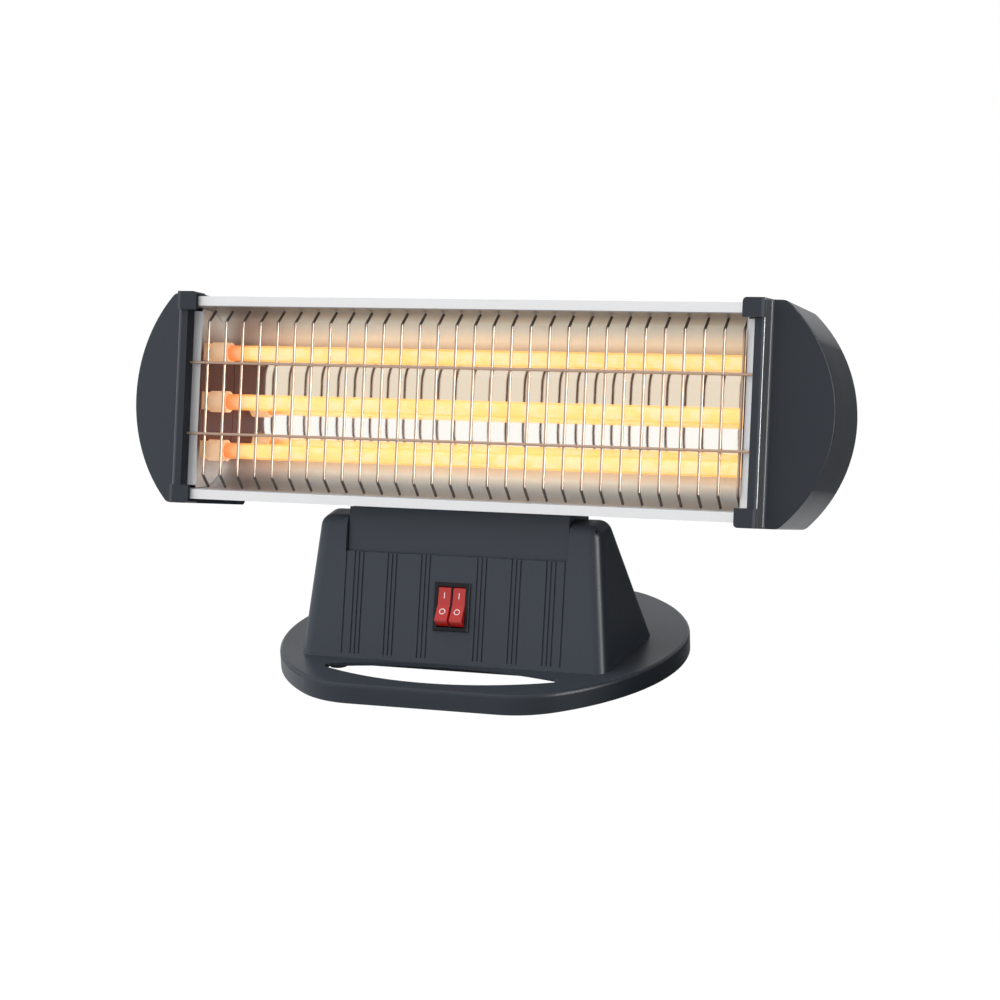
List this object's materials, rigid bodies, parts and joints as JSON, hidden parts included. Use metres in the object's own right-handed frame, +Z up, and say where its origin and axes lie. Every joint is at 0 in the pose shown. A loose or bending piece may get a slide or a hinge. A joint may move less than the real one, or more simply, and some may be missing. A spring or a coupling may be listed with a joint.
{
  "type": "quartz heater",
  "caption": "Tabletop quartz heater: reflector head with glowing tubes, wire guard and D-shaped end caps, tilting on a wedge pedestal with rocker switches and a round base.",
  "frame": {"origin": "on the floor under the middle of the base plate", "axes": "+X along the head to the right of someone facing the heater, +Y to the back, +Z up"},
  "size_m": [0.471, 0.234, 0.2416],
  "materials": {
    "dark_plastic": "satin anthracite",
    "black_plastic": "satin black",
    "red_plastic": "gloss",
    "rubber": "matt",
    "steel": "zinc plated",
    "brass": "plain",
    "painted_sheet": "smooth pale enamel",
    "bright_aluminium": "bright rolled",
    "tinted_steel": "browned by heat",
    "quartz": "translucent quartz",
    "resistance_wire": "oxidised, glowing",
    "ceramic": "unglazed",
    "chrome_wire": "polished"
  },
  "bodies": {
    "stand": {"base_plate": "dark_plastic", "rubber_feet": "rubber", "base_screws": "steel", "bottom_cover": "dark_plastic", "cover_screws": "steel", "pedestal": "dark_plastic", "cord_bush": "rubber", "switch_frame": "black_plastic", "switch_terminals": "brass", "pivot_bolts": "steel", "pivot_washers": "black_plastic"},
    "head": {"neck_block": "dark_plastic", "end_cap_left": "dark_plastic", "end_cap_right": "dark_plastic", "housing": "painted_sheet", "reflector": "bright_aluminium", "end_plate_left": "tinted_steel", "end_plate_right": "tinted_steel", "end_strip_left": "painted_sheet", "end_strip_right": "painted_sheet", "quartz_tube_upper": "quartz", "quartz_tube_middle": "quartz", "quartz_tube_lower": "quartz", "heating_coil_upper": "resistance_wire", "heating_coil_middle": "resistance_wire", "heating_coil_lower": "resistance_wire", "tube_holders_left": "ceramic", "tube_holders_right": "ceramic", "terminal_pins_left": "steel", "terminal_pins_right": "steel", "guard_uprights": "chrome_wire", "guard_cross_wires": "chrome_wire"},
    "rocker_left": {"rocker_left": "red_plastic"},
    "rocker_right": {"rocker_right": "red_plastic"}
  },
  "joints": [
    {"name": "head_tilt", "type": "hinge", "parent": "stand", "child": "head", "pos_m": [0, -0.0138, 0.0742], "axis": [-1, 0, 0], "range_deg": [-10, 20]},
    {"name": "rocker_left_press", "type": "hinge", "parent": "stand", "child": "rocker_left", "pos_m": [-0.0049, -0.05412, 0.04811], "axis": [1, 0, 0], "range_deg": [0, 30]},
    {"name": "rocker_right_press", "type": "hinge", "parent": "stand", "child": "rocker_right", "pos_m": [0.0049, -0.05412, 0.04811], "axis": [1, 0, 0], "range_deg": [0, 30]}
  ]
}
